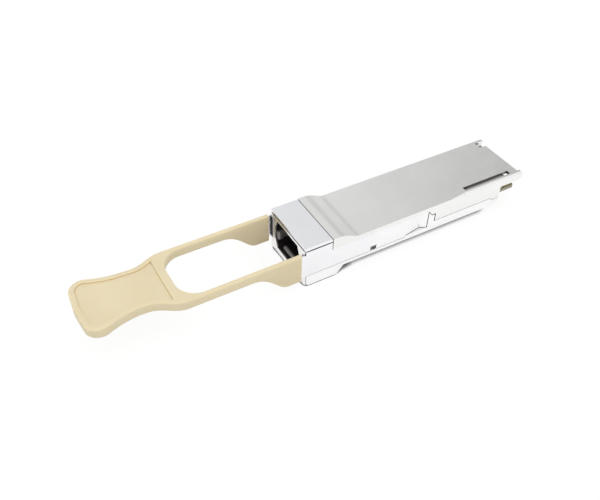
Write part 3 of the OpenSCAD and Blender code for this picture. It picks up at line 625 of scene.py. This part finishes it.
@dataclass
class LatchSlide:
    """The sprung steel slide that frees the module, and its two return springs."""

    edge_mm: float = 0.07
    turns: int = 9
    wire_mm: float = 0.2
    wire_sides: int = 10
    wire_end_share: float = 0.35
    steps_per_turn: int = 24
    travel_mm: float = 2.5
    end_turn_rise: float = 0.35

    def build(self) -> None:
        """Dresses the slide and winds both springs."""
        dress("latch_slide", ROLLED_STEEL, self.edge_mm)
        for side in ("near", "far"):
            self.spring(side)

    def spring(self, side: str) -> None:
        """Winds one return spring in its pocket.

        The wire's centre runs round a circle while its height along X rises slowly over the
        first and last turn, which lie nearly closed, and steadily between them. It stands in
        for the CAD's coil.

        Args:
            side: Which side of the module, near or far.
        """
        node = f"return_spring_{side}"
        low, high = (np.array(corner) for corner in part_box(node))
        wire = self.wire_mm * MM
        centre = (low + high) / 2
        radius = (high[2] - low[2] - wire) / 2
        length = high[0] - low[0] - wire
        turn = np.linspace(0, self.turns, self.turns * self.steps_per_turn + 1)
        rate = np.where((turn < 1) | (turn > self.turns - 1), self.end_turn_rise, 1.0)
        rise = np.concatenate([[0.0], np.cumsum((rate[1:] + rate[:-1]) / 2)])
        angle = 2 * np.pi * turn
        path = np.stack([low[0] + wire / 2 + length * rise / rise[-1],
                         centre[1] + radius * np.cos(angle),
                         centre[2] + radius * np.sin(angle)], -1)
        points, faces = tube(path, wire / 2, self.wire_sides, self.wire_end_share)
        piece = mesh_piece(f"coil_{side}", points, faces, SPRING_WIRE, "housing")
        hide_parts(node)
        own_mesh(piece)


@dataclass
class PullTab:
    """The moulded tab that the user pulls."""

    finish: Finish = BEIGE_RUBBER

    def build(self) -> None:
        """Dresses the tab. Its rims are round in the CAD already."""
        dress("pull_tab", self.finish)


@dataclass
class OpticalPort:
    """The receptacle for the fibre plug, with its hooks, ferrule, pins and ribbon."""

    fibres: int = 12
    fibre_pitch_mm: float = 0.25
    fibre_mm: float = 0.125
    proud_mm: float = 0.02
    sides: int = 16
    rings: int = 3
    hook_edge_mm: float = 0.06
    ferrule_edge_mm: float = 0.05

    def build(self) -> None:
        """Dresses the port's pieces and polishes the fibres' ends."""
        dress("mpo_receptacle", BLACK_PBT)
        dress("plug_hooks", GREY_PEI, self.hook_edge_mm)
        dress("mt_ferrule", FERRULE_PPS, self.ferrule_edge_mm)
        dress("guide_pins", PIN_STEEL)
        dress("pin_clamp", CLAMP_STEEL)
        dress("fibre_ribbon", AQUA_COATING)
        self.fibre_ends()

    def fibre_ends(self) -> None:
        """A row of small domes on the ferrule's face, one for each fibre.

        Each dome is rings of a quarter ellipse, from the fibre's radius down to its tip, with
        a flat face at its foot.
        """
        low, high = (np.array(corner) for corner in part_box("mt_ferrule"))
        middle = (low + high) / 2
        radius = self.fibre_mm / 2 * MM
        level = np.linspace(0, np.pi / 2, self.rings, endpoint=False)
        turn = np.linspace(0, 2 * np.pi, self.sides, endpoint=False)
        shell = np.stack(np.broadcast_arrays(
            -self.proud_mm * MM * np.sin(level)[:, None],
            radius * np.cos(level)[:, None] * np.cos(turn),
            radius * np.cos(level)[:, None] * np.sin(turn)), -1).reshape(-1, 3)
        dome = np.vstack([shell, [[-self.proud_mm * MM, 0.0, 0.0]]])
        row, step = np.meshgrid(np.arange(self.rings - 1), np.arange(self.sides),
                                indexing="ij")
        after = (step + 1) % self.sides
        quads = np.stack([row * self.sides + after, row * self.sides + step,
                          (row + 1) * self.sides + step, (row + 1) * self.sides + after],
                         -1).reshape(-1, 4)
        last = (self.rings - 1) * self.sides
        ring = np.arange(self.sides)
        cap = np.stack([last + (ring + 1) % self.sides, last + ring,
                        np.full(self.sides, len(dome) - 1)], -1)
        places = (np.arange(self.fibres) - (self.fibres - 1) / 2) * self.fibre_pitch_mm * MM
        offsets = np.stack([np.full(self.fibres, low[0]), middle[1] + places,
                            np.full(self.fibres, middle[2])], -1)
        points = (dome[None] + offsets[:, None]).reshape(-1, 3)
        firsts = len(dome) * np.arange(self.fibres)[:, None, None]
        faces = [face for kind in (quads, cap, ring[None])
                 for face in (kind[None] + firsts).reshape(-1, kind.shape[1]).tolist()]
        mesh_piece("fibre_ends", points, faces, GLASS_END, "housing")


@dataclass
class CircuitCard:
    """The board with its edge contacts, chips and optics."""

    board_edge_mm: float = 0.05
    finishes: dict[str, Finish] = field(default_factory=lambda: {
        "edge_contacts_top": HARD_GOLD, "edge_contacts_bottom": HARD_GOLD,
        "lens_block": LENS_PEI, "vcsel_array": DIE_SILICON, "photodiode_array": DIE_SILICON,
        "laser_driver": DIE_SILICON, "receiver_amplifier": DIE_SILICON,
        "clock_recovery_chips": CHIP_EPOXY, "microcontroller": CHIP_EPOXY,
        "memory_chip": CHIP_EPOXY, "power_inductors": FERRITE,
        "ceramic_capacitors": CERAMIC, "thermal_pad": GAP_PAD,
        "absorber_strips": ABSORBER})

    def build(self) -> None:
        """Dresses the board and everything on it."""
        dress("circuit_board", BOARD, self.board_edge_mm)
        for node, finish in self.finishes.items():
            dress(node, finish)


@dataclass
class Studio:
    """A white table, a light tent, a soft overhead lamp and the camera.

    A share is how much light the table gives back, and a glow is what it adds, to the kind of
    ray it is named for. The sky's levels are named for their sides. Its fades are the parts of
    a unit direction along X, Z and Y between which one level turns into another. Lengths are
    in metres unless they end in mm. The lens and the sensor are in millimetres, and the
    lamp's key_power is in watts.
    """

    floor_z_mm: float = -2.8
    floor_size: float = 6.0
    floor_share: float = 0.66
    seen_glow: float = 0.88
    seen_share: float = 0.14
    mirrored_glow: float = 0.5
    mirrored_share: float = 0.6
    core_reach_mm: float = 5.0
    core_level: float = 0.12
    core_open: tuple[float, float] = (0.36, 0.49)
    core_samples: int = 32
    sky_left: float = 0.9
    sky_right: float = 0.12
    sky_near: float = 1.05
    sky_low: float = 0.8
    fade_x: tuple[float, float] = (0.45, 0.7)
    fade_z: tuple[float, float] = (0.44, 0.54)
    fade_y: tuple[float, float] = (-0.15, 0.3)
    key_power: float = 0.3
    key_size: float = 0.35
    key_place: tuple[float, float, float] = (-0.08, -0.12, 0.55)
    key_aim: tuple[float, float, float] = (-0.01, 0.0, 0.0)
    camera_place_mm: tuple[float, float, float] = (-87.632, -118.736, 133.488)
    camera_right: tuple[float, float, float] = (0.866273, -0.499127, 0.021059)
    camera_up: tuple[float, float, float] = (0.331498, 0.605854, 0.723222)
    camera_back: tuple[float, float, float] = (-0.373738, -0.619527, 0.690294)
    lens: float = 43.27
    sensor: float = 36.0
    clip: tuple[float, float] = (0.01, 20.0)

    def build(self) -> None:
        """Sets up the floor, the world, the lamp and the camera."""
        self.floor()
        self.world()
        self.lamp()
        self.camera()
        bpy.context.scene.view_settings.view_transform = "Standard"

    def floor(self) -> None:
        """A flat white table top that shows as white, keeps soft shadows and gets a painted
        shadow.

        It is clear from below, so that the underside can be looked at.
        """
        half = self.floor_size / 2
        corner = np.array([[-1, -1, 0], [1, -1, 0], [1, 1, 0], [-1, 1, 0]], float) * half
        corner[:, 2] = self.floor_z_mm * MM
        mesh = bpy.data.meshes.new("table_top")
        mesh.from_pydata(corner.tolist(), [], [[0, 1, 2, 3]])
        table = bpy.data.objects.new("table_top", mesh)
        bpy.context.scene.collection.objects.link(table)
        paint = bpy.data.materials.new("white_table")
        paint.use_nodes = True
        tree = paint.node_tree
        tree.nodes.clear()
        path = add_node(tree, "ShaderNodeLightPath").outputs
        seen = add_node(tree, "ShaderNodeMath",
                        {0: path["Is Camera Ray"], 1: path["Is Transmission Ray"]},
                        operation="MAXIMUM").outputs[0]
        # Painted shadow: the glow and the share both dim where the object closes in the table.
        core = self.painted_core_shadow(tree)
        glow, share = (
            add_node(tree, "ShaderNodeMath",
                     {0: core, 1: self.by_ray(tree, seen, path["Is Glossy Ray"], *levels)},
                     operation="MULTIPLY").outputs[0]
            for levels in ((0.0, self.mirrored_glow, self.seen_glow),
                           (self.floor_share, self.mirrored_share, self.seen_share)))
        matt = add_node(tree, "ShaderNodeBsdfDiffuse", {"Color": share})
        light = add_node(tree, "ShaderNodeEmission", {"Strength": glow})
        top = add_node(tree, "ShaderNodeAddShader",
                       {0: matt.outputs["BSDF"], 1: light.outputs["Emission"]})
        clear = add_node(tree, "ShaderNodeBsdfTransparent")
        below = add_node(tree, "ShaderNodeNewGeometry").outputs["Backfacing"]
        both = add_node(tree, "ShaderNodeMixShader", {
            "Fac": below, 1: top.outputs["Shader"], 2: clear.outputs["BSDF"]})
        add_node(tree, "ShaderNodeOutputMaterial", {"Surface": both.outputs["Shader"]})
        mesh.materials.append(paint)

    def painted_core_shadow(self, tree: bpy.types.NodeTree) -> bpy.types.NodeSocket:
        """A painted shadow: the dark core where the object hides the table's near sky.

        Args:
            tree: The table's node tree.

        Returns:
            core_level in the core, rising to 1 in the open.
        """
        sky = add_node(tree, "ShaderNodeAmbientOcclusion",
                       {"Distance": self.core_reach_mm * MM},
                       samples=self.core_samples).outputs["AO"]
        closed, opened = self.core_open
        return add_node(tree, "ShaderNodeMapRange", {
            "Value": sky, "From Min": closed, "From Max": opened,
            "To Min": self.core_level, "To Max": 1.0}).outputs["Result"]

    def by_ray(self, tree: bpy.types.NodeTree, seen: bpy.types.NodeSocket,
               mirrored: bpy.types.NodeSocket, plain: float, in_mirror: float,
               in_view: float) -> bpy.types.NodeSocket:
        """Picks a level by the kind of ray that meets the table.

        Args:
            tree: The table's node tree.
            seen: 1 for rays from the camera or through something clear.
            mirrored: 1 for rays from a glossy surface.
            plain: The level for soft bounces.
            in_mirror: The level for glossy rays.
            in_view: The level for seen rays.

        Returns:
            The level.
        """
        first = add_node(tree, "ShaderNodeMix",
                         {SHARE: mirrored, VALUE_A: plain, VALUE_B: in_mirror}).outputs[0]
        return add_node(tree, "ShaderNodeMix",
                        {SHARE: seen, VALUE_A: first, VALUE_B: in_view}).outputs[0]

    def world(self) -> None:
        """A soft light tent: white at -Y, a little dimmer at +Y and dark high up towards +X.

        Each of three fades along an axis puts one level in front of what came before it.
        """
        world = bpy.data.worlds.new("light_tent")
        bpy.context.scene.world = world
        world.use_nodes = True
        tree = world.node_tree
        tree.nodes.clear()
        way = add_node(tree, "ShaderNodeTexCoord").outputs["Generated"]
        parts = add_node(tree, "ShaderNodeSeparateXYZ", {"Vector": way}).outputs
        level: bpy.types.NodeSocket | float = self.sky_right
        for axis, (start, end), front in (("X", self.fade_x, self.sky_left),
                                          ("Z", self.fade_z, self.sky_low),
                                          ("Y", self.fade_y, self.sky_near)):
            level = add_node(tree, "ShaderNodeMapRange", {
                "Value": parts[axis], "From Min": start, "From Max": end,
                "To Min": front, "To Max": level}).outputs["Result"]
        sky = add_node(tree, "ShaderNodeBackground", {"Color": WHITE, "Strength": level})
        white = add_node(tree, "ShaderNodeBackground", {"Color": WHITE, "Strength": 1.0})
        direct = add_node(tree, "ShaderNodeLightPath").outputs["Is Camera Ray"]
        both = add_node(tree, "ShaderNodeMixShader", {
            "Fac": direct, 1: sky.outputs["Background"], 2: white.outputs["Background"]})
        add_node(tree, "ShaderNodeOutputWorld", {"Surface": both.outputs["Shader"]})

    def lamp(self) -> None:
        """One large soft lamp above the object, a little to its near left."""
        light = bpy.data.lights.new("overhead_softbox", "AREA")
        light.shape = "SQUARE"
        light.size = self.key_size
        light.energy = self.key_power
        lamp = bpy.data.objects.new("overhead_softbox", light)
        lamp.location = self.key_place
        aim = Vector(self.key_aim) - lamp.location
        lamp.rotation_euler = aim.to_track_quat("-Z", "Y").to_euler()
        bpy.context.scene.collection.objects.link(lamp)

    def camera(self) -> None:
        """The camera, from its place and its three axes."""
        data = bpy.data.cameras.new("product_camera")
        data.lens = self.lens
        data.sensor_width = self.sensor
        data.clip_start, data.clip_end = self.clip
        turned = Matrix((self.camera_right, self.camera_up, self.camera_back)).transposed()
        camera = bpy.data.objects.new("product_camera", data)
        camera.matrix_world = (Matrix.Translation(Vector(self.camera_place_mm) * MM)
                               @ turned.to_4x4())
        bpy.context.scene.collection.objects.link(camera)
        bpy.context.scene.camera = camera


def main() -> None:
    logging.basicConfig(level=logging.INFO, format="%(message)s")
    Studio().build()
    for part in (Housing(), LatchSlide(), PullTab(), OpticalPort(), CircuitCard()):
        part.build()
        LOG.info("finished %s", type(part).__name__)


if __name__ == "__main__":
    main()
